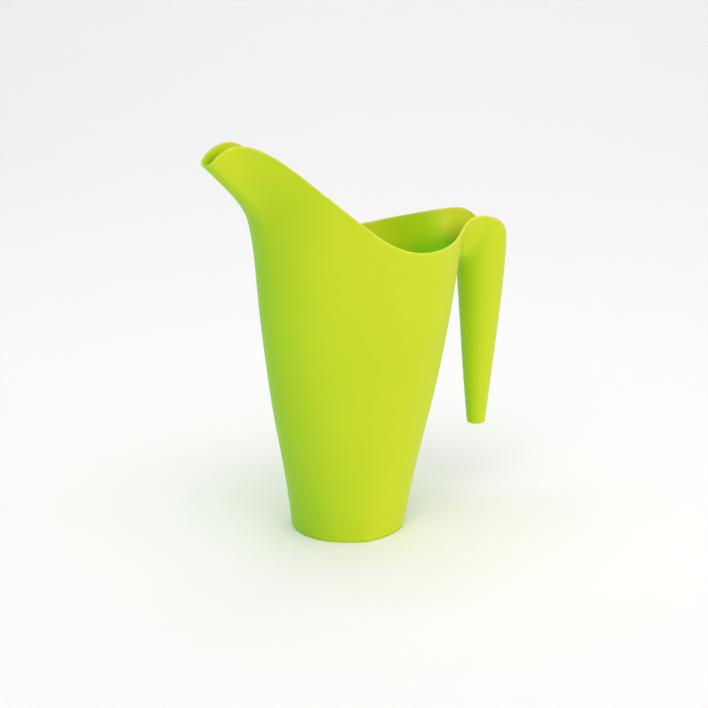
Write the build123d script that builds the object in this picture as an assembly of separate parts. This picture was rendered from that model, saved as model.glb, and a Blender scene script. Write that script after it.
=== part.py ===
from build123d import *
import math
import os

# One-piece moulded watering can, modelled as named zones that meet face to face.
# Millimetres, +Z up, spout towards -X, handle towards +X, mirror plane Y = 0.
# Modelled about the centre of the round foot, then moved along X so that the origin is under
# the middle of the overall length, on the plane the can stands on.

# ---- driving dimensions ----
wall = 1.8                # moulded wall thickness
floor_recess = 2.0        # underside of the floor above the standing plane
floor_thickness = 2.2
foot_ring_width = 5.0
foot_radius = 45.0
foot_bevel = 1.2          # at 45 degrees round the lowest edge
rim_height = 320.0        # highest point of the rim, at the spout
foot_x = -12.0            # centre of the foot from the origin

handle_end_z = 62.0       # lower free end of the handle
handle_end_thickness = 2.5
handle_end_radius = 7.5

arch_x = 101.4            # middle of the finger gap at its top
arch_z = 198.0
arch_radius = 9.5         # underside of the bridge over the finger gap

# planes that divide the moulding into its named zones
foot_top = 6.0
wall_middle = 140.0
spout_bottom = 250.0
bridge_front = 84.0
bridge_back = 121.0
bridge_bottom = 196.0

# Level sections of the vessel: height, front end, widest point, half width, back end.
# Up to the spout they are ovals, round at the foot and longer towards the rim.
ovals = [
    (0.0, -44.8, 0.0, 44.8, 45.2),
    (20.0, -47.8, 3.0, 46.1, 49.8),
    (60.0, -55.1, 9.5, 48.3, 60.2),
    (100.0, -63.2, 15.5, 50.5, 72.4),
    (140.0, -69.3, 21.5, 52.8, 82.3),
    (180.0, -74.4, 28.0, 55.1, 89.8),
    (215.0, -77.6, 33.0, 57.1, 95.0),
]

# Level sections through the spout: height, front end, four points of the pinched
# flank, widest point, half width, back end.
beak_sections = [
    (235.0, -79.6, (-78.1, 9.7), (-73.0, 19.3), (-50.5, 38.4), (-12.0, 52.9), 35.5, 58.1, 97.0),
    (250.0, -82.6, (-80.9, 9.6), (-75.4, 18.6), (-52.3, 38.0), (-12.3, 53.0), 36.0, 58.7, 98.3),
    (265.0, -88.2, (-86.2, 8.4), (-80.0, 16.0), (-56.0, 36.0), (-14.0, 52.8), 36.0, 59.1, 99.6),
    (278.0, -97.4, (-95.0, 7.4), (-87.5, 12.8), (-61.0, 32.8), (-15.0, 52.7), 36.0, 59.4, 100.7),
    (291.0, -109.6, (-106.6, 6.9), (-98.0, 10.7), (-68.5, 28.0), (-17.0, 52.6), 36.0, 59.7, 101.7),
    (307.0, -126.0, (-122.4, 6.6), (-112.0, 9.1), (-84.0, 18.0), (-19.0, 52.5), 36.0, 60.0, 102.7),
    (326.0, -146.5, (-142.0, 6.4), (-127.0, 8.9), (-97.0, 12.8), (-21.0, 52.4), 36.0, 60.3, 104.0),
]

# Side profile of the rim, x and z, from the lip of the spout to the back of the handle.
rim_profile = [
    (-131.0, 301.5),
    (-124.0, 308.4),
    (-111.0, 318.3),
    (-99.0, 320.0),
    (-83.0, 314.2),
    (-56.0, 291.7),
    (-24.0, 262.8),
    (10.0, 238.2),
    (44.0, 231.0),
    (79.0, 236.8),
    (100.0, 242.0),
    (119.0, 242.8),
    (136.0, 235.4),
    (146.0, 219.3),
    (153.0, 203.0),
]

# Round sections of the handle: height, centre x, radius.
handle_rounds = [
    (handle_end_z, 128.0, handle_end_radius),
    (100.0, 128.3, 11.3),
    (140.0, 129.0, 15.0),
    (180.0, 129.5, 18.5),
    (215.0, 129.5, 20.7),
    (248.0, 129.5, 21.2),
]

# Level sections of the bridge: height and five flank points from vessel to handle.
bridge_sections = [
    (196.0, (72.0, 36.0), (88.0, 19.0), (101.0, 11.5), (114.0, 10.0), (126.0, 12.0)),
    (207.0, (72.0, 40.5), (88.0, 26.4), (101.0, 17.6), (114.0, 15.4), (126.0, 17.0)),
    (219.0, (72.0, 43.5), (88.0, 30.0), (101.0, 21.8), (114.0, 18.0), (126.0, 19.0)),
    (248.0, (72.0, 46.0), (88.0, 32.6), (101.0, 24.4), (114.0, 19.6), (126.0, 19.6)),
]


def oval_flank(front, middle, half_width, back):
    """Half outline of an oval, front end to back end, on the +Y side."""
    points = [(front, 0.0)]
    for angle in (10, 20, 42, 66):
        turn = math.radians(angle)
        points.append((middle - (middle - front) * math.cos(turn), half_width * math.sin(turn)))
    points.append((middle, half_width))
    for angle in (60, 30):
        turn = math.radians(angle)
        points.append((middle + (back - middle) * math.cos(turn), half_width * math.sin(turn)))
    points.append((back, 0.0))
    return points


def beak_flank(front, tip, low, mid, high, middle, half_width, back):
    """Half outline of a section through the pinched spout."""
    points = [(front, 0.0), tip, low, mid, high, (middle, half_width)]
    for angle in (60, 30):
        turn = math.radians(angle)
        points.append((middle + (back - middle) * math.cos(turn), half_width * math.sin(turn)))
    points.append((back, 0.0))
    return points


def moved_in(points, distance, front_distance):
    """Flank moved inwards along its own normals; the sloped front end moves further."""
    inner = []
    for i in range(len(points)):
        x, y = points[i]
        if i == 0:
            inner.append((x + front_distance, 0.0))
        elif i == len(points) - 1:
            inner.append((x - distance, 0.0))
        else:
            along_x = points[i + 1][0] - points[i - 1][0]
            along_y = points[i + 1][1] - points[i - 1][1]
            length = math.hypot(along_x, along_y)
            inner.append((x + along_y / length * distance, y - along_x / length * distance))
    return inner


def closed_section(flank, z):
    """Whole level section from its +Y half."""
    mirrored = [(x, -y) for x, y in reversed(flank[1:-1])]
    points = [Vector(x, y, z) for x, y in flank + mirrored]
    return Face(Wire([Edge.make_spline(points, periodic=True)]))


def vessel_flanks():
    """Heights and half outlines of the vessel from foot to spout."""
    flanks = []
    for z, front, middle, half_width, back in ovals:
        flanks.append((z, oval_flank(front, middle, half_width, back)))
    for z, *section in beak_sections:
        flanks.append((z, beak_flank(*section)))
    return flanks


def front_step(flanks, i):
    """Level distance that gives the wall its thickness where the front end slopes."""
    low = flanks[max(i - 1, 0)]
    high = flanks[min(i + 1, len(flanks) - 1)]
    lean = (high[1][0][0] - low[1][0][0]) / (high[0] - low[0])
    return wall * math.hypot(1.0, lean)


def vessel_solid(inside):
    """Outer or inner form of the vessel with its spout."""
    flanks = vessel_flanks()
    sections = []
    for i in range(len(flanks)):
        z, flank = flanks[i]
        if inside:
            flank = moved_in(flank, wall, front_step(flanks, i))
        sections.append(closed_section(flank, z))
    return Solid(loft(sections).wrapped)


def handle_solid(inside):
    """Outer or inner form of the tapered handle."""
    step = wall if inside else 0.0
    sections = []
    for z, x, radius in handle_rounds:
        sections.append(Plane((x, 0.0, z)) * Circle(radius - step))
    return loft(sections)


def bridge_solid(inside):
    """Outer or inner form of the open bridge, arched over the finger gap."""
    step = wall if inside else 0.0
    sections = []
    for z, *flank in bridge_sections:
        flank = [(x, y - step * 1.2) if i < 3 else (x, y - step) for i, (x, y) in enumerate(flank)]
        far_side = [Vector(x, y, z) for x, y in flank]
        near_side = [Vector(x, -y, z) for x, y in reversed(flank)]
        edges = [
            Edge.make_spline(far_side),
            Edge.make_line(far_side[-1], near_side[0]),
            Edge.make_spline(near_side),
            Edge.make_line(near_side[-1], far_side[0]),
        ]
        sections.append(Face(Wire(edges)))
    block = loft(sections)
    arch = Plane((arch_x, 0.0, arch_z), x_dir=(1, 0, 0), z_dir=(0, 1, 0)) * Cylinder(arch_radius + step, 140.0)
    return block - arch


def rim_cutter():
    """Everything above the rim."""
    curve = [Vector(x, -90.0, z) for x, z in rim_profile]
    top = rim_height + 60.0
    corners = [curve[-1], Vector(190.0, -90.0, 190.0), Vector(190.0, -90.0, top)]
    corners += [Vector(-190.0, -90.0, top), Vector(-190.0, -90.0, 285.0), curve[0]]
    edges = [Edge.make_spline(curve)]
    for start, end in zip(corners[:-1], corners[1:]):
        edges.append(Edge.make_line(start, end))
    return extrude(Face(Wire(edges)), amount=180.0, dir=(0, 1, 0))


def slab(x0, x1, z0, z1):
    """Block across the full width, used to divide the moulding into zones."""
    return Pos((x0 + x1) / 2, 0, (z0 + z1) / 2) * Box(x1 - x0, 200, z1 - z0)


# ---- vessel, handle and bridge as outer forms ----
outer = vessel_solid(False) + handle_solid(False) + bridge_solid(False)

# ---- the space inside them ----
floor_top = floor_recess + floor_thickness
vessel_inner = vessel_solid(True) & slab(-200, 200, floor_top, 330)
handle_inner = handle_solid(True) & slab(-200, 200, handle_end_z + handle_end_thickness, 330)
inner = vessel_inner + handle_inner + bridge_solid(True)

# ---- one shell, open above the rim ----
shell = outer - rim_cutter() - inner

# ---- underside of the foot: a recess inside a standing ring with a bevelled edge ----
standing = (Align.CENTER, Align.CENTER, Align.MIN)
recess = Cylinder(foot_radius - foot_ring_width, floor_recess, align=standing)
bevel = Cylinder(70, 4, align=standing)
bevel -= Cone(foot_radius - foot_bevel, foot_radius - foot_bevel + 4, 4, align=standing)

# ---- the named zones ----
zones = {
    "foot": (shell & slab(-200, 90, -1, foot_top)) - recess - bevel,
    "spout": shell & slab(-200, 80, spout_bottom, 400),
    "handle_bridge": shell & slab(bridge_front, bridge_back, bridge_bottom, 400),
    "handle_grip": shell & (slab(100, 200, -1, bridge_bottom) + slab(bridge_back, 200, -1, 400)),
    "vessel_wall_lower": shell & slab(-200, 100, foot_top, wall_middle),
    "vessel_wall_upper": shell
    & (slab(-200, 100, wall_middle, bridge_bottom) + slab(-200, bridge_front, bridge_bottom, spout_bottom)),
}

box = shell.bounding_box()
print("overall x", box.min.X, box.max.X, "z", box.min.Z, box.max.Z)
os.makedirs("parts", exist_ok=True)
for name, shape in zones.items():
    shape = Pos(foot_x, 0, 0) * shape
    export_step(shape, f"parts/{name}.step")
    print(name, len(shape.solids()), round(shape.volume / 1000, 2), "cm3")
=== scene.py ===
import math
import bpy
import numpy as np
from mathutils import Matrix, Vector


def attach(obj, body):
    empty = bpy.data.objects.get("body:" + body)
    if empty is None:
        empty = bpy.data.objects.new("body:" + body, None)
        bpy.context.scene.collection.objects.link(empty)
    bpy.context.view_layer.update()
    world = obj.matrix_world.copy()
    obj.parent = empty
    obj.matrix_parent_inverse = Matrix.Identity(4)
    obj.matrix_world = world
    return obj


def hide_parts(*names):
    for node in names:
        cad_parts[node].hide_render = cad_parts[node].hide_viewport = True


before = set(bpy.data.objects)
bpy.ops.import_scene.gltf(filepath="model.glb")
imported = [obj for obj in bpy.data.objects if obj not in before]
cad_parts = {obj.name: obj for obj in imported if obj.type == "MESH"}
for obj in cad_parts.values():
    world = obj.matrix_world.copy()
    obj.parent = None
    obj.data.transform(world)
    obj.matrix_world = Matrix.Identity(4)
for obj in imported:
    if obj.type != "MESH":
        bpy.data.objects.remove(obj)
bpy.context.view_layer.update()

# The can is one moulding: a single skin is worked out first, outside and inside, and then cut
# into six closed pieces that keep its normals, so that no cut shows.

# ---------------------------------------------------------------- form, in millimetres
FOOT_X = -12.0            # centre of the foot from the origin
WALL = 1.8                # thickness
ROLL = WALL / 2           # radius of the rounded rim
FLOOR_UNDER = 2.0         # underside of the floor above the standing plane
FLOOR_TOP = 4.2
FOOT_TOP = 6.0            # the foot's piece ends here
MIDDLE = 140.0            # the wall's lower piece ends here
SPOUT_BOTTOM = 250.0
HANDLE_END = 62.0         # lower free end of the handle
HANDLE_FLOOR = 64.5       # floor of the space inside it
HANDLE_MIDDLE = 140.0     # below this the handle's rows are level
END_EDGE = 1.5            # radius round the lowest edges of foot and handle
RING_WIDTH = 4.2          # the standing ring is flat up to this far in from the foot's side
RING_EDGE = 0.8           # radius round the ring's inner edge and in the corner of the recess
FLOOR_FILLET = 2.2        # radius between wall and floor, inside the vessel
HANDLE_FILLET = 2.0       # the same inside the handle

# Level sections of the vessel: height, front end, widest point, half width, back end.
OVALS = [
    (0.0, -44.8, 0.0, 44.8, 45.2),
    (20.0, -47.8, 3.0, 46.1, 49.8),
    (60.0, -55.1, 9.5, 48.3, 60.2),
    (100.0, -63.2, 15.5, 50.5, 72.4),
    (140.0, -69.3, 21.5, 52.8, 82.3),
    (180.0, -74.4, 28.0, 55.1, 89.8),
    (215.0, -77.6, 33.0, 57.1, 95.0),
]
# Level sections through the spout: height, front end, four points of the pinched flank,
# widest point, half width, back end.
BEAK = [
    (235.0, -79.6, (-78.1, 9.7), (-73.0, 19.3), (-50.5, 38.4), (-12.0, 52.9), 35.5, 58.1, 97.0),
    (250.0, -82.6, (-80.9, 9.6), (-75.4, 18.6), (-52.3, 38.0), (-12.3, 53.0), 36.0, 58.7, 98.3),
    (265.0, -88.2, (-86.2, 8.4), (-80.0, 16.0), (-56.0, 36.0), (-14.0, 52.8), 36.0, 59.1, 99.6),
    (278.0, -97.4, (-95.0, 7.4), (-87.5, 12.8), (-61.0, 32.8), (-15.0, 52.7), 36.0, 59.4, 100.7),
    (291.0, -109.6, (-106.6, 6.9), (-98.0, 10.7), (-68.5, 28.0), (-17.0, 52.6), 36.0, 59.7, 101.7),
    (307.0, -126.0, (-122.4, 6.6), (-112.0, 9.1), (-84.0, 18.0), (-19.0, 52.5), 36.0, 60.0, 102.7),
    (326.0, -146.5, (-142.0, 6.4), (-127.0, 8.9), (-97.0, 12.8), (-21.0, 52.4), 36.0, 60.3, 104.0),
]
# Side profile of the rim, x and z, from the lip of the spout to the back of the handle.
RIM = [
    (-131.0, 301.5), (-124.0, 308.4), (-111.0, 318.3), (-99.0, 320.0), (-83.0, 314.2),
    (-56.0, 291.7), (-24.0, 262.8), (10.0, 238.2), (44.0, 231.0), (79.0, 236.8),
    (100.0, 242.0), (119.0, 242.8), (136.0, 235.4), (146.0, 219.3), (153.0, 203.0),
]
# Round sections of the handle: height, centre x, radius.
ROUNDS = [
    (62.0, 128.0, 7.5), (100.0, 128.3, 11.3), (140.0, 129.0, 15.0),
    (180.0, 129.5, 18.5), (215.0, 129.5, 20.7), (248.0, 129.5, 21.2),
]
BRIDGE_X = 73.0           # the bridge leaves the vessel's rim here
BRIDGE_ANGLE = math.radians(76)   # and reaches the handle this far round from its front
BRIDGE_LOW = 197.0        # the middle of the bridge starts and ends at this height
BRIDGE_RISE = 2.2         # power with which its two ends rise from there to the rim
BRIDGE_PULL = 1.18        # how far it keeps its direction at each end, as a share of its span
BRIDGE_PULL_LOW = 1.15    # and how much further along the middle of the channel
BOWL = 0.4                # half width of the channel's round bottom, as a share of the whole

# ---- how finely the skin is divided ----
SPOUT_COLUMNS = 61        # on each side of the spout
SIDE_COLUMNS = 45         # from the spout to the bridge
BACK_COLUMNS = 73         # across the bridge
REAR_COLUMNS = 81         # round the rest of the handle
FOOT_ROWS = 6             # up the side of the foot
LOWER_ROWS = 54           # up the wall's lower piece
UPPER_ROWS = 40           # and its upper piece
SPOUT_ROWS = 34
BRIDGE_ROWS = 33          # from vessel to handle
GRIP_LOW_ROWS = 34        # up the lower part of the handle, outside
GRIP_INSIDE_ROWS = 32     # and inside
GRIP_HIGH_ROWS = 36       # and up its upper part
ROLL_ROWS = 11            # round the rim
EDGE_ROWS = 8             # round every other rounded edge
FLOOR_LOOPS = 12          # from the edge of the vessel's floor to its centre
HANDLE_LOOPS = 7          # the same at the end of the handle
SMALL_STEP = 0.05         # millimetres either side of a point, to find a direction
SMALL_TURN = 0.002        # the same in radians
SMALL_SHARE = 0.01        # and as a share of the bridge

UP = np.array([0.0, 0.0, 1.0])
DOWN = np.array([0.0, 0.0, -1.0])
TO_SPOUT = np.array([-1.0, 0.0, 0.0])
TO_HANDLE = np.array([1.0, 0.0, 0.0])
UP_THE_SPOUT = np.array([-1.0, 0.0, 0.5])   # along the rim towards the lip
LEVEL_ONLY = np.array([1, 1, 0])            # keeps the level part of what it multiplies


def spline(knots, values, at):
    """Natural cubic spline through values, one row for each knot, read at the points `at`."""
    knots, values, at = np.asarray(knots, float), np.asarray(values, float), np.asarray(at, float)
    flat = values.reshape(len(knots), -1)
    n, gap = len(knots), np.diff(knots)
    left, right = np.eye(n), np.zeros_like(flat)
    for i in range(1, n - 1):
        left[i, i - 1], left[i, i], left[i, i + 1] = gap[i - 1], 2 * (gap[i - 1] + gap[i]), gap[i]
        right[i] = 6 * ((flat[i + 1] - flat[i]) / gap[i] - (flat[i] - flat[i - 1]) / gap[i - 1])
    bend = np.linalg.solve(left, right)
    k = np.clip(np.searchsorted(knots, at) - 1, 0, n - 2)
    h = gap[k][:, None]
    a, b = (knots[k + 1] - at)[:, None] / h, (at - knots[k])[:, None] / h
    out = a * flat[k] + b * flat[k + 1] + ((a**3 - a) * bend[k] + (b**3 - b) * bend[k + 1]) * h * h / 6
    return out.reshape((len(at),) + values.shape[1:])


def unit(v):
    """The same directions with a length of one."""
    return v / np.maximum(np.linalg.norm(v, axis=-1, keepdims=True), 1e-12)


def section_points():
    """Heights of the vessel's sections and the sixteen points round each."""
    heights, rings = [], []
    for z, front, middle, half, back in OVALS:
        flank = [(front, 0.0)]
        for angle in np.radians((10, 20, 42, 66)):
            flank.append((middle - (middle - front) * math.cos(angle), half * math.sin(angle)))
        heights.append(z)
        rings.append((flank, middle, half, back))
    for z, front, tip, low, mid, high, middle, half, back in BEAK:
        heights.append(z)
        rings.append(([(front, 0.0), tip, low, mid, high], middle, half, back))
    whole = []
    for flank, middle, half, back in rings:
        flank = flank + [(middle, half)]
        for angle in np.radians((60, 30)):
            flank.append((middle + (back - middle) * math.cos(angle), half * math.sin(angle)))
        flank.append((back, 0.0))
        whole.append(flank + [(x, -y) for x, y in reversed(flank[1:-1])])
    return np.array(heights), np.array(whole)


HEIGHTS, RINGS = section_points()
# Places round the vessel, s, are distances along this one section, the third through the spout.
ring = RINGS[len(OVALS) + 2]
steps = np.linalg.norm(np.roll(ring, -1, axis=0) - ring, axis=1)
knots_round = np.concatenate(([0.0], np.cumsum(steps)))
AROUND = knots_round[-1]
three_laps = np.concatenate((knots_round[:-1] - AROUND, knots_round[:-1], knots_round[:-1] + AROUND))
unit_rows = np.tile(np.eye(len(ring)), (3, 1))


def weights(s):
    """How much each of the sixteen points counts at the place s round the vessel."""
    return spline(three_laps, unit_rows, np.mod(s, AROUND))


def vessel_xyz(s, z):
    """Point of the outer skin, s round from the front end by the +Y side, at height z."""
    s, z = np.broadcast_arrays(np.asarray(s, float), np.asarray(z, float))
    points = spline(HEIGHTS, RINGS, z.ravel())
    xy = np.einsum("nk,nkc->nc", weights(s.ravel()), points)
    return np.concatenate((xy, z.reshape(-1, 1)), axis=1).reshape(s.shape + (3,))


def vessel(s, z):
    """Point, outward normal, direction along the outline, direction up the wall."""
    along = unit(vessel_xyz(s + SMALL_STEP, z) - vessel_xyz(s - SMALL_STEP, z))
    up = unit(vessel_xyz(s, z + SMALL_STEP) - vessel_xyz(s, z - SMALL_STEP))
    return vessel_xyz(s, z), unit(np.cross(up, along)), along, up


def handle_xyz(angle, z):
    """Point of the handle's outer skin; angle 0 faces the vessel."""
    angle, z = np.broadcast_arrays(np.asarray(angle, float), np.asarray(z, float))
    table = np.array(ROUNDS)
    centre = spline(table[:, 0], table[:, 1:], z.ravel()).reshape(z.shape + (2,))
    x = centre[..., 0] - centre[..., 1] * np.cos(angle)
    return np.stack((x, centre[..., 1] * np.sin(angle), z), axis=-1)


def handle(angle, z):
    """Point, outward normal, direction round the handle, direction up it."""
    along = unit(handle_xyz(angle - SMALL_TURN, z) - handle_xyz(angle + SMALL_TURN, z))
    up = unit(handle_xyz(angle, z + SMALL_STEP) - handle_xyz(angle, z - SMALL_STEP))
    return handle_xyz(angle, z), unit(np.cross(along, up)), along, up


rim_points = np.array(RIM)
rim_steps = np.concatenate(([0.0], np.cumsum(np.linalg.norm(np.diff(rim_points, axis=0), axis=1))))
rim_line = spline(rim_steps, rim_points, np.linspace(0, rim_steps[-1], 4000))


def rim_z(x):
    """Height of the rim at x."""
    return np.interp(x, rim_line[:, 0], rim_line[:, 1])


def rim_top(surface, places):
    """Height at which each column of a skin meets the rim, less the roll."""
    lowest, highest, step = 195.0, 325.0, 0.5
    levels = np.arange(lowest, highest, step)
    x = surface(places[:, None] + 0 * levels, levels[None, :] + 0 * places[:, None])[..., 0]
    over = levels[None, :] - rim_z(x)
    k = np.argmax(over > 0, axis=1)
    column = np.arange(len(places))
    below, above = over[column, k - 1], over[column, k]
    return levels[k - 1] + step * below / (below - above) - ROLL


# ---- where the columns of each skin stand ----
# Both searches run along the +Y side of the rim, the first near its back, the second near its front.
search = np.linspace(0.25 * AROUND, 0.5 * AROUND, 900)
search_top = rim_top(vessel_xyz, search)
search_x = vessel_xyz(search, search_top)[:, 0]
BRIDGE_S = float(np.interp(BRIDGE_X, search_x, search))
search = np.linspace(0.08 * AROUND, 0.3 * AROUND, 900)
search_top = rim_top(vessel_xyz, search)
SPOUT_S = float(np.interp(-SPOUT_BOTTOM, -search_top, search))

# Columns stand closer at the lip of the spout, and closer at both flanks of the bridge.
# q runs from -1 at one flank of the bridge to 1 at the other.
spout_half = SPOUT_S * np.linspace(0, 1, SPOUT_COLUMNS) ** 1.25
spout_s = np.concatenate((-spout_half[::-1], spout_half[1:]))
side_s = np.linspace(SPOUT_S, BRIDGE_S, SIDE_COLUMNS)
q = np.linspace(-1, 1, BACK_COLUMNS)
q = q * (1.25 - 0.25 * np.abs(q))
back_s = BRIDGE_S + (q + 1) / 2 * (AROUND - 2 * BRIDGE_S)
other_s = AROUND - side_s[::-1]
ring_s = np.concatenate((spout_s, side_s[1:], back_s[1:], other_s[1:]))
front_angle = -q * BRIDGE_ANGLE
rear_angle = -np.linspace(BRIDGE_ANGLE, 2 * math.pi - BRIDGE_ANGLE, REAR_COLUMNS)
ring_angle = np.concatenate((front_angle, rear_angle[1:]))


def bridge_root(q_at, low, high):
    """Height where the bridge begins, across the back of the vessel or the front of the handle."""
    return low + (high - low) * np.abs(q_at) ** BRIDGE_RISE


vessel_top = rim_top(vessel_xyz, np.array([BRIDGE_S]))[0]
handle_top = rim_top(handle_xyz, np.array([BRIDGE_ANGLE]))[0]


def turn_share(q_at):
    """Share of a quarter turn: none along the middle of the channel, all of it at the rim.

    It grows with the power 0.8. That has a crease in the middle, so the bowl follows an even
    polynomial that meets it in value and in slope.
    """
    across = np.abs(q_at)
    share = across / BOWL
    rounded = BOWL**0.8 * share**2 * (1.6 - 0.6 * share**2)
    return np.where(across < BOWL, rounded, across**0.8)


def bridge_raw(a, q_at):
    """Skin that flows from the vessel, a = 0, to the handle, a = 1."""
    s = BRIDGE_S + (q_at + 1) / 2 * (AROUND - 2 * BRIDGE_S)
    start, _, along, up = vessel(s, bridge_root(q_at, BRIDGE_LOW, vessel_top))
    end, _, around, rise = handle(-q_at * BRIDGE_ANGLE, bridge_root(q_at, BRIDGE_LOW, handle_top))
    turn = (turn_share(q_at) * math.pi / 2)[..., None]
    side = np.sign(q_at)[..., None]
    leave = np.cos(turn) * up - side * np.sin(turn) * along
    arrive = -np.cos(turn) * rise + side * np.sin(turn) * around
    span = np.linalg.norm(end - start, axis=-1, keepdims=True)
    pull = span * (BRIDGE_PULL + BRIDGE_PULL_LOW * np.cos(turn) ** 2)
    t = a[..., None]
    h0, h1 = 2 * t**3 - 3 * t**2 + 1, -2 * t**3 + 3 * t**2
    g0, g1 = t**3 - 2 * t**2 + t, t**3 - t**2
    return h0 * start + h1 * end + pull * (g0 * leave + g1 * arrive)


def bridge_xyz(a, q_at):
    """The same skin with both its flanks brought to the rim's height."""
    points = bridge_raw(a, q_at)
    edge = bridge_raw(a, np.where(q_at < 0, -1.0, 1.0))
    points[..., 2] += (rim_z(edge[..., 0]) - ROLL - edge[..., 2]) * np.abs(q_at) ** 3
    return points


# ---------------------------------------------------------------- skins as grids of points and normals
def inner(skin):
    """The inside of a skin, one wall thickness in."""
    points, normals = skin
    return points - WALL * normals, -normals


def height_rows(low, high, n):
    """n rows of heights from low to high, each given for every column."""
    return low + (high - low) * np.linspace(0, 1, n)[:, None]


def vessel_skin(s, low, high, n):
    """Stretch of the vessel's outside over the columns s."""
    z = height_rows(low, high, n) + 0 * s[None, :]
    points, normals, _, _ = vessel(s[None, :] + 0 * z, z)
    return points, normals


def handle_skin(angle, low, high, n):
    """Stretch of the handle's outside over the columns at these angles."""
    z = height_rows(low, high, n) + 0 * angle[None, :]
    points, normals, _, _ = handle(angle[None, :] + 0 * z, z)
    return points, normals


# ---- where the rows end: at the rim, the spout or the bridge ----
ring_top = np.concatenate((
    np.full(len(spout_s), SPOUT_BOTTOM),
    rim_top(vessel_xyz, side_s)[1:],
    bridge_root(q, BRIDGE_LOW, vessel_top)[1:],
    rim_top(vessel_xyz, other_s)[1:],
))
ring_top[-1] = SPOUT_BOTTOM
first_side = len(spout_s) - 1
first_back = first_side + len(side_s) - 1
last_back = first_back + len(q) - 1
ring_top[first_back] = vessel_top
spout_top = rim_top(vessel_xyz, spout_s)
spout_top[0] = SPOUT_BOTTOM
spout_top[-1] = SPOUT_BOTTOM

lower_skin = vessel_skin(ring_s, np.full(len(ring_s), FOOT_TOP), np.full(len(ring_s), MIDDLE), LOWER_ROWS)
upper_skin = vessel_skin(ring_s, np.full(len(ring_s), MIDDLE), ring_top, UPPER_ROWS)
spout_skin = vessel_skin(spout_s, np.full(len(spout_s), SPOUT_BOTTOM), spout_top, SPOUT_ROWS)

ring_handle_top = np.concatenate((
    bridge_root(q, BRIDGE_LOW, handle_top),
    rim_top(handle_xyz, rear_angle)[1:],
))
ring_handle_top[-1] = handle_top
flat = np.ones(len(ring_angle))
grip_low = handle_skin(
    ring_angle, flat * (HANDLE_END + END_EDGE), flat * HANDLE_MIDDLE, GRIP_LOW_ROWS)
grip_low_inside = inner(handle_skin(
    ring_angle, flat * (HANDLE_FLOOR + HANDLE_FILLET), flat * HANDLE_MIDDLE, GRIP_INSIDE_ROWS))
grip_high = handle_skin(ring_angle, flat * HANDLE_MIDDLE, ring_handle_top, GRIP_HIGH_ROWS)

# The bridge's outside, which looks down in the middle. Its first and last rows are those of the
# vessel and the handle, so that all three share their points and normals.
a_grid, q_grid = np.meshgrid(np.linspace(0, 1, BRIDGE_ROWS), q, indexing="ij")
bridge_points = bridge_xyz(a_grid, q_grid)
a_after, a_before = np.clip(a_grid + SMALL_SHARE, 0, 1), np.clip(a_grid - SMALL_SHARE, 0, 1)
q_after, q_before = np.clip(q_grid + SMALL_SHARE, -1, 1), np.clip(q_grid - SMALL_SHARE, -1, 1)
along_bridge = bridge_xyz(a_after, q_grid) - bridge_xyz(a_before, q_grid)
across_bridge = bridge_xyz(a_grid, q_after) - bridge_xyz(a_grid, q_before)
bridge_normals = unit(np.cross(across_bridge, along_bridge))
if bridge_normals[BRIDGE_ROWS // 2, BACK_COLUMNS // 2, 2] > 0:
    bridge_normals = -bridge_normals
bridge_normals[0] = upper_skin[1][-1, first_back:last_back + 1]
bridge_normals[-1] = grip_high[1][-1, :len(q)]
bridge_points[0] = upper_skin[0][-1, first_back:last_back + 1]
bridge_points[-1] = grip_high[0][-1, :len(q)]
bridge_skin = (bridge_points, bridge_normals)

# ---- the rounded rim: one closed line over all the pieces, cut where they meet ----
upper_top, upper_top_normals = upper_skin[0][-1], upper_skin[1][-1]
grip_top, grip_top_normals = grip_high[0][-1], grip_high[1][-1]
first_side_run = slice(first_side, first_back + 1)
other_side_run = slice(last_back, None)
rear_run = slice(len(q) - 1, None)
runs = [
    ("spout", spout_skin[0][-1], spout_skin[1][-1]),
    ("vessel", upper_top[first_side_run], upper_top_normals[first_side_run]),
    ("bridge", bridge_points[:, 0], bridge_normals[:, 0]),
    ("handle", grip_top[rear_run][::-1], grip_top_normals[rear_run][::-1]),
    ("bridge", bridge_points[::-1, -1], bridge_normals[::-1, -1]),
    ("vessel", upper_top[other_side_run], upper_top_normals[other_side_run]),
]
line = np.concatenate([points[:-1] for _, points, _ in runs])
line_normals = np.concatenate([normals[:-1] for _, _, normals in runs])
tangent = unit(np.roll(line, -1, axis=0) - np.roll(line, 1, axis=0))
rise = unit(np.cross(tangent, line_normals))
rise *= np.sign(rise[:, 2:3])
beta = np.linspace(0, math.pi, ROLL_ROWS)[:, None, None]
middle_line = line - ROLL * line_normals
roll_normals = np.cos(beta) * line_normals[None] + np.sin(beta) * rise[None]
roll_points = middle_line[None] + ROLL * roll_normals
rolls = []
start = 0
for name, points, _ in runs:
    index = np.arange(start, start + len(points)) % len(line)
    rolls.append((name, (roll_points[:, index], roll_normals[:, index])))
    start += len(points) - 1


def between(skin_row, row_normals, up):
    """Hidden face between outer and inner skin where two pieces meet."""
    layers = [skin_row - depth * row_normals for depth in (0.0, WALL / 2, WALL)]
    facing = 0 * skin_row + up
    return np.stack(layers), np.stack([facing] * len(layers))


def end_face(roll, column, towards):
    """Hidden face that closes the rounded rim where a piece ends."""
    arc = roll[0][:, column]
    centre = (arc[0] + arc[-1]) / 2
    points = np.stack((arc, np.repeat(centre[None], len(arc), axis=0)))
    return points, np.repeat(np.repeat(towards[None, None], 2, axis=0), len(arc), axis=1)


quarter = np.linspace(0, math.pi / 2, EDGE_ROWS)


def stacked(loops, normals):
    """Grid of points and normals from closed loops, one for each row."""
    return np.stack(loops), np.stack(normals)


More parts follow.
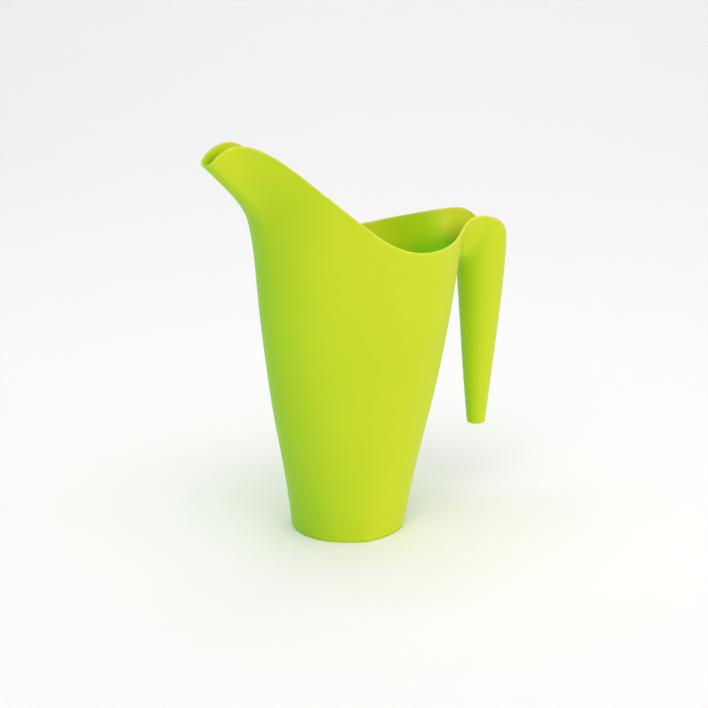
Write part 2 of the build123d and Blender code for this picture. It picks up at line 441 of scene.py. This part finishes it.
def foot_skins():
    """Lower side, standing ring, recessed underside and floor."""
    s = ring_s
    parts = []
    top, top_normals, _, _ = vessel(s, np.full(len(s), FOOT_TOP))
    level = unit(top_normals * LEVEL_ONLY)
    wall_low = vessel_skin(s, np.full(len(s), END_EDGE), np.full(len(s), FOOT_TOP), FOOT_ROWS)
    parts.append(wall_low)
    base = wall_low[0][0] * LEVEL_ONLY

    def loop(inset, z):
        """The foot's outline, moved inwards, at height z."""
        out = base - inset * level
        out[:, 2] = z
        return out

    # the rounded lowest edge, the ring it stands on, and the ring's rounded inner edge
    parts.append(stacked(
        [loop(END_EDGE * (1 - math.cos(b)), END_EDGE * (1 - math.sin(b))) for b in quarter],
        [math.cos(b) * wall_low[1][0] + math.sin(b) * DOWN for b in quarter]))
    parts.append(stacked([loop(END_EDGE, 0), loop(RING_WIDTH, 0)], [0 * level + DOWN] * 2))
    parts.append(stacked(
        [loop(RING_WIDTH + RING_EDGE * math.sin(b), RING_EDGE * (1 - math.cos(b))) for b in quarter],
        [-math.sin(b) * level + math.cos(b) * DOWN for b in quarter]))

    # the recess: its side, its rounded corner and the underside of the floor
    side = RING_WIDTH + RING_EDGE
    ceiling = FLOOR_UNDER - RING_EDGE
    parts.append(stacked([loop(side, RING_EDGE), loop(side, ceiling)], [-level] * 2))
    parts.append(stacked(
        [loop(side + RING_EDGE * (1 - math.cos(b)), FLOOR_UNDER - RING_EDGE * (1 - math.sin(b)))
         for b in quarter],
        [-math.cos(b) * level + math.sin(b) * DOWN for b in quarter]))
    front, back = OVALS[0][1], OVALS[0][4]
    centre = np.array([(front + back) / 2, 0.0, 0.0])

    def disc(rim, z, normal):
        """Level disc of shrinking loops inside the loop `rim`."""
        loops = []
        for k in np.linspace(1, 0, FLOOR_LOOPS):
            out = centre + (rim - centre) * k
            out[:, 2] = z
            loops.append(out)
        return stacked(loops, [0 * rim + normal] * len(loops))

    parts.append(disc(loop(RING_WIDTH + 2 * RING_EDGE, FLOOR_UNDER), FLOOR_UNDER, DOWN))

    # inside: the fillet between wall and floor, and the floor
    inner_top = top - WALL * top_normals
    loops, normals = [], []
    for b in quarter:
        out = inner_top - FLOOR_FILLET * (1 - math.cos(b)) * level
        out[:, 2] = FLOOR_TOP + (inner_top[:, 2] - FLOOR_TOP) * (1 - math.sin(b))
        loops.append(out)
        normals.append(-math.cos(b) * top_normals - math.sin(b) * DOWN)
    parts.append(stacked(loops, normals))
    parts.append(disc(loops[-1], FLOOR_TOP, UP))
    parts.append(between(top, top_normals, UP))
    return parts


def handle_end_skins():
    """Rounded lower end of the handle and the floor inside it."""
    parts = []
    first, first_normals = grip_low[0][0], grip_low[1][0]
    level = unit(first_normals * LEVEL_ONLY)

    def disc(rim, normal):
        """Disc of shrinking loops inside the loop `rim`."""
        centre = rim.mean(axis=0)
        loops = [centre + (rim - centre) * k for k in np.linspace(1, 0, HANDLE_LOOPS)]
        return stacked(loops, [0 * rim + normal] * len(loops))

    loops, normals = [], []
    for b in quarter:
        out = first - END_EDGE * (1 - math.cos(b)) * level
        out[:, 2] = HANDLE_END + END_EDGE * (1 - math.sin(b))
        loops.append(out)
        normals.append(math.cos(b) * first_normals + math.sin(b) * DOWN)
    parts.append(stacked(loops, normals))
    parts.append(disc(loops[-1], DOWN))

    row = grip_low_inside[0][0]
    loops, normals = [], []
    for b in quarter:
        out = row - HANDLE_FILLET * (1 - math.cos(b)) * level
        out[:, 2] = HANDLE_FLOOR + (row[:, 2] - HANDLE_FLOOR) * (1 - math.sin(b))
        loops.append(out)
        normals.append(-math.cos(b) * first_normals - math.sin(b) * DOWN)
    parts.append(stacked(loops, normals))
    parts.append(disc(loops[-1], UP))
    return parts


# ---------------------------------------------------------------- pieces
def build(name, grids, material):
    """One closed mesh from grids of points and normals, welded where they meet."""
    # every square of every grid, turned so that it faces the way its normals point
    corners, corner_normals = [], []
    for points, normals in grids:
        for block, into in ((points, corners), (normals, corner_normals)):
            quad = np.stack((block[:-1, :-1], block[:-1, 1:], block[1:, 1:], block[1:, :-1]), axis=2)
            into.append(quad.reshape(-1, 4, 3))
    corners, corner_normals = np.concatenate(corners), unit(np.concatenate(corner_normals))
    facing = np.cross(corners[:, 2] - corners[:, 0], corners[:, 3] - corners[:, 1])
    wrong = np.einsum("ij,ij->i", facing, corner_normals.mean(axis=1)) < 0
    corners[wrong] = corners[wrong][:, ::-1]
    corner_normals[wrong] = corner_normals[wrong][:, ::-1]
    # corners that round to the same micron become one vertex
    keys = np.round(corners.reshape(-1, 3), 3) + 0.0
    _, first, index = np.unique(keys, axis=0, return_index=True, return_inverse=True)
    index = index.reshape(-1, 4)
    places = corners.reshape(-1, 3)[first]
    # squares that shrink to a triangle lose a corner, and those that shrink to a line are left out
    faces, loop_normals = [], []
    for face, normals in zip(index.tolist(), corner_normals):
        kept = [k for k in range(4) if face[k] != face[k - 1]]
        if len(kept) < 3 or len({face[k] for k in kept}) < 3:
            continue
        faces.append([face[k] for k in kept])
        loop_normals.extend(normals[k] for k in kept)
    mesh = bpy.data.meshes.new(name)
    mesh.from_pydata(((places + np.array([FOOT_X, 0, 0])) * 0.001).tolist(), [], faces)
    mesh.polygons.foreach_set("use_smooth", [True] * len(faces))
    mesh.normals_split_custom_set([tuple(n) for n in loop_normals])
    mesh.materials.append(material)
    piece = bpy.data.objects.new(name, mesh)
    bpy.context.scene.collection.objects.link(piece)
    return piece


# ---------------------------------------------------------------- material
COLOUR = (0.45, 0.74, 0.018)
COLOUR_DEEP = (0.43, 0.72, 0.017)
COLOUR_PALE = (0.47, 0.76, 0.019)
COLOUR_HIGHLIGHT_AND_WEAR = (0.68, 0.86, 0.08)      # painted highlight along the rim; rubbed wear on the foot's lowest edge
SPECK_DARK = (0.955, 0.965, 0.95)
HIGHLIGHT_AND_WEAR_LOW = 0.45                      # least share of the painted rim highlight and foot wear colour on an edge
ROUGH_LOW = 0.40
ROUGH_HIGH = 0.50
EDGE_GLOSS = 0.10                     # how much smoother the rim and the foot's lowest edge are


def plastic(name):
    """Satin moulded polypropylene: lime green, faint mould grain, a paler edge that is a painted
    highlight on the rim and rubbed wear on the foot.
    """
    material = bpy.data.materials.new(name)
    material.use_nodes = True
    tree = material.node_tree
    tree.nodes.clear()
    new, link = tree.nodes.new, tree.links.new
    out = new("ShaderNodeOutputMaterial")
    shader = new("ShaderNodeBsdfPrincipled")
    link(shader.outputs["BSDF"], out.inputs["Surface"])
    place = new("ShaderNodeTexCoord")

    def noise(scale, detail, rough=0.5):
        node = new("ShaderNodeTexNoise")
        node.inputs["Scale"].default_value = scale
        node.inputs["Detail"].default_value = detail
        node.inputs["Roughness"].default_value = rough
        link(place.outputs["Object"], node.inputs["Vector"])
        return node.outputs["Fac"]

    def ramp(source, stops):
        """Colour ramp through stops of position and colour, in order."""
        node = new("ShaderNodeValToRGB")
        first, *between_ends, last = stops
        for element, (position, colour) in zip(node.color_ramp.elements, (first, last)):
            element.position = position
            element.color = (*colour, 1)
        for position, colour in between_ends:
            node.color_ramp.elements.new(position).color = (*colour, 1)
        link(source, node.inputs["Fac"])
        return node.outputs["Color"]

    def maths(operation, *inputs):
        node = new("ShaderNodeMath")
        node.operation = operation
        for socket, value in zip(node.inputs, inputs):
            if isinstance(value, float):
                socket.default_value = value
            else:
                link(value, socket)
        return node.outputs["Value"]

    def mix(kind, factor, first, second):
        node = new("ShaderNodeMix")
        node.data_type = "RGBA"
        node.blend_type = kind
        if isinstance(factor, float):
            node.inputs["Factor"].default_value = factor
        else:
            link(factor, node.inputs["Factor"])
        for source, socket in ((first, "A"), (second, "B")):
            if isinstance(source, tuple):
                node.inputs[socket].default_value = (*source, 1)
            else:
                link(source, node.inputs[socket])
        return node.outputs["Result"]

    def bump(strength, distance, height, under=None):
        node = new("ShaderNodeBump")
        node.inputs["Strength"].default_value = strength
        node.inputs["Distance"].default_value = distance
        link(height, node.inputs["Height"])
        if under is not None:
            link(under, node.inputs["Normal"])
        return node.outputs["Normal"]

    # colour: a slow drift between three limes, a faint speck, and paler edges: a painted highlight along
    # the rim, rubbed wear along the foot's lowest edge
    tone = ramp(noise(9.0, 3.0), [(0.30, COLOUR_DEEP), (0.52, COLOUR), (0.75, COLOUR_PALE)])
    speck = ramp(noise(900.0, 2.0, 0.6), [(0.35, SPECK_DARK), (0.65, (1, 1, 1))])
    coloured = mix("MULTIPLY", 0.5, tone, speck)
    edge = new("ShaderNodeAttribute")
    edge.attribute_name = "edge"
    # painted highlight on the rim and wear on the foot's edge, broken into patches by noise
    highlight_and_wear_patches = ramp(noise(160.0, 4.0, 0.65), [(0.30, (HIGHLIGHT_AND_WEAR_LOW,) * 3), (0.62, (1, 1, 1))])
    highlight_and_wear = maths("MULTIPLY", edge.outputs["Fac"], highlight_and_wear_patches)
    link(mix("MIX", highlight_and_wear, coloured, COLOUR_HIGHLIGHT_AND_WEAR), shader.inputs["Base Color"])

    # gloss: cloudy, and smoother along the edges
    rough = new("ShaderNodeMapRange")
    rough.inputs["From Min"].default_value = 0.3
    rough.inputs["From Max"].default_value = 0.7
    rough.inputs["To Min"].default_value = ROUGH_LOW
    rough.inputs["To Max"].default_value = ROUGH_HIGH
    link(noise(26.0, 4.0), rough.inputs["Value"])
    smoothed = maths("MULTIPLY_ADD", edge.outputs["Fac"], -EDGE_GLOSS, rough.outputs["Result"])
    link(smoothed, shader.inputs["Roughness"])

    # relief: the mould's fine grain over a broad, shallow swell of the wall; distances in metres
    grain = bump(0.10, 0.00012, noise(1500.0, 2.0, 0.55))
    swell = bump(0.25, 0.0006, noise(14.0, 2.0), under=grain)
    link(swell, shader.inputs["Normal"])

    shader.inputs["IOR"].default_value = 1.49
    shader.inputs["Specular IOR Level"].default_value = 0.2
    return material


lime = plastic("lime_polypropylene")

# ---------------------------------------------------------------- what each piece is made of
rim_rolls = {}
for name, grid in rolls:
    rim_rolls.setdefault(name, []).append(grid)
spout_roll = rim_rolls["spout"][0]
first_bridge_roll, other_bridge_roll = rim_rolls["bridge"]

# rows of points and normals where two pieces meet, and the direction in which the skin runs on
foot_row = (lower_skin[0][0], lower_skin[1][0])
middle_row = (lower_skin[0][-1], lower_skin[1][-1])
spout_row = (spout_skin[0][0], spout_skin[1][0])
spout_up = vessel(spout_s, np.full(len(spout_s), SPOUT_BOTTOM))[3]
back_row = (bridge_points[0], bridge_normals[0])
back_up = unit(bridge_points[1] - bridge_points[0])
grip_row = (bridge_points[-1], bridge_normals[-1])
grip_up = unit(bridge_points[-2] - bridge_points[-1])

pieces = {
    "foot": foot_skins(),
    "vessel_wall_lower": [
        lower_skin, inner(lower_skin),
        between(*foot_row, DOWN), between(*middle_row, UP),
    ],
    "vessel_wall_upper": [
        upper_skin, inner(upper_skin), *rim_rolls["vessel"],
        between(upper_skin[0][0], upper_skin[1][0], DOWN),
        between(*spout_row, spout_up), between(*back_row, back_up),
        end_face(spout_roll, 0, UP_THE_SPOUT), end_face(spout_roll, -1, UP_THE_SPOUT),
        end_face(first_bridge_roll, 0, TO_HANDLE), end_face(other_bridge_roll, -1, TO_HANDLE),
    ],
    "spout": [
        spout_skin, inner(spout_skin), spout_roll,
        between(*spout_row, -spout_up),
        end_face(spout_roll, 0, -UP_THE_SPOUT), end_face(spout_roll, -1, -UP_THE_SPOUT),
    ],
    "handle_bridge": [
        bridge_skin, inner(bridge_skin), first_bridge_roll, other_bridge_roll,
        between(*back_row, -back_up), between(*grip_row, -grip_up),
        end_face(first_bridge_roll, 0, TO_SPOUT), end_face(first_bridge_roll, -1, TO_HANDLE),
        end_face(other_bridge_roll, 0, TO_HANDLE), end_face(other_bridge_roll, -1, TO_SPOUT),
    ],
    "handle_grip": [
        grip_low, grip_low_inside, grip_high, inner(grip_high), *rim_rolls["handle"],
        between(*grip_row, grip_up),
        end_face(first_bridge_roll, -1, TO_SPOUT), end_face(other_bridge_roll, 0, TO_SPOUT),
        *handle_end_skins(),
    ],
}


def paint_highlight_and_wear(piece):
    """Attribute 'edge': 1 on the rounded rim, for its painted highlight, less on the foot's lowest edge,
    for its rubbed wear; fading out beside them.
    """
    rim_reach = 1.6           # the rim's paint ends this far from its top, in millimetres
    foot_reach = 1.4          # the foot's paint ends at this height
    foot_share = 0.6
    ring_inner = 38.0         # inside this radius the underside isn't painted
    mesh = piece.data
    places = np.empty(len(mesh.vertices) * 3)
    mesh.vertices.foreach_get("co", places)
    places = places.reshape(-1, 3) * 1000 - np.array([FOOT_X, 0, 0])
    rim_crest = middle_line + ROLL * rise
    value = np.zeros(len(places))
    block = 4000              # vertices at a time, to spare memory
    for k in range(0, len(places), block):
        gap = np.linalg.norm(places[k:k + block, None] - rim_crest[None], axis=2).min(axis=1)
        value[k:k + block] = np.clip(rim_reach - gap, 0, 1)
    low = np.clip(foot_reach - places[:, 2], 0, 1) * foot_share
    radius = np.hypot(places[:, 0], places[:, 1])
    on_foot = (radius > ring_inner) & (places[:, 2] < FLOOR_UNDER)
    value = np.maximum(value, np.where(on_foot, low, 0))
    layer = mesh.attributes.new("edge", "FLOAT", "POINT")
    layer.data.foreach_set("value", value.astype(np.float32))


can = []
for node, grids in pieces.items():
    piece = build("can_" + node, grids, lime)
    can.append(piece)
    paint_highlight_and_wear(piece)
    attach(piece, "root")
    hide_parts(node)

# ---------------------------------------------------------------- stage, lights, camera; in metres
VIEW_TURN = math.radians(33)      # camera and backdrop are turned this far about the can
VIEW_TILT = math.radians(17)
VIEW_DISTANCE = 1.5
VIEW_TARGET = Vector((0.00643 + FOOT_X * 0.001, 0.0, 0.14117))   # a little below the can's middle
LENS = 96.34                      # millimetres, as is the sensor's width
SENSOR_WIDTH = 36.0


def backdrop():
    """Pale paper that lies under the can and curves up behind it."""
    half_width = 4.0
    front = -4.0
    back = 2.2
    height = 3.2
    bend = 1.0
    bend_rows = 12
    profile = [(front, 0.0), (back - bend, 0.0)]
    for k in range(1, bend_rows + 1):
        turn = k / bend_rows * math.pi / 2
        profile.append((back - bend + bend * math.sin(turn), bend * (1 - math.cos(turn))))
    profile.append((back, height))
    verts = [(side * half_width, y, z) for y, z in profile for side in (-1, 1)]
    faces = [(2 * k, 2 * k + 1, 2 * k + 3, 2 * k + 2) for k in range(len(profile) - 1)]
    mesh = bpy.data.meshes.new("floor")
    mesh.from_pydata(verts, [], faces)
    mesh.polygons.foreach_set("use_smooth", [True] * len(faces))
    sheet = bpy.data.objects.new("floor", mesh)
    sheet.rotation_euler = (0, 0, -VIEW_TURN)
    bpy.context.scene.collection.objects.link(sheet)
    return sheet


def paper():
    """Matt white paper."""
    material = bpy.data.materials.new("paper")
    material.use_nodes = True
    inputs = material.node_tree.nodes["Principled BSDF"].inputs
    inputs["Base Color"].default_value = (0.93, 0.93, 0.93, 1)
    inputs["Roughness"].default_value = 0.9
    inputs["Specular IOR Level"].default_value = 0.1
    return material


floor = backdrop()
floor.data.materials.append(paper())


def lamp(name, place, size, power, colour, lit, aim=(0.0, 0.0, 0.16)):
    """Square soft box that lights only the objects in `lit`; everything still shadows it."""
    data = bpy.data.lights.new(name, "AREA")
    data.size = size
    data.energy = power
    data.color = colour
    light = bpy.data.objects.new(name, data)
    light.location = place
    light.rotation_euler = (Vector(aim) - Vector(place)).to_track_quat("-Z", "Y").to_euler()
    bpy.context.scene.collection.objects.link(light)
    group = bpy.data.collections.new(name + "_lights")
    for thing in lit:
        group.objects.link(thing)
    light.light_linking.receiver_collection = group


# The plastic is one green. In the photo its lit flank is yellow and its sides turn to green, so
# the can has warm light from the front and right, and green light from above, behind and the left.
# The floor has neutral lamps of its own. Each line: place, size, watts, colour, what it lights.
lamp("key", (-0.1, -1.98, 1.2), 0.9, 31.7, (1.0, 0.65, 0.51), can)
lamp("side", (1.2, -1.6, 1.1), 0.9, 21.2, (1.0, 0.22, 0.29), can)
lamp("fill", (-2.0, -0.6, 0.9), 1.6, 0.7, (0.0, 1.0, 0.66), can)
lamp("rear", (1.9, 0.5, 1.1), 1.4, 3.8, (0.0, 1.0, 0.32), can)
lamp("top", (0.3, 0.3, 2.2), 1.6, 15.4, (0.41, 1.0, 0.51), can)
lamp("slant", (-1.3, 0.9, 1.8), 1.2, 13.6, (0.0, 1.0, 0.39), can, aim=(0.0, 0.0, 0.2))
lamp("floor_top", (0.0, -0.3, 3.0), 4.0, 83.4, (1.0, 1.0, 1.0), [floor])
lamp("floor_back", (-0.6, -1.0, 2.2), 2.0, 16.2, (1.0, 1.0, 1.0), [floor], aim=(1.2, 1.9, 1.4))

world = bpy.data.worlds.new("studio")
bpy.context.scene.world = world
world.use_nodes = True
surroundings = world.node_tree.nodes["Background"].inputs
surroundings["Color"].default_value = (1.0, 1.0, 1.0, 1)
surroundings["Strength"].default_value = 0.242
bpy.context.scene.view_settings.view_transform = "Standard"
bpy.context.scene.view_settings.look = "None"

camera_data = bpy.data.cameras.new("camera")
camera_data.lens = LENS
camera_data.sensor_width = SENSOR_WIDTH
camera = bpy.data.objects.new("camera", camera_data)
level_away = Vector((-math.sin(VIEW_TURN), -math.cos(VIEW_TURN), 0.0))
away = level_away * math.cos(VIEW_TILT) + Vector((0.0, 0.0, math.sin(VIEW_TILT)))
camera.location = VIEW_TARGET + VIEW_DISTANCE * away
camera.rotation_euler = (-away).to_track_quat("-Z", "Y").to_euler()
bpy.context.scene.collection.objects.link(camera)
bpy.context.scene.camera = camera
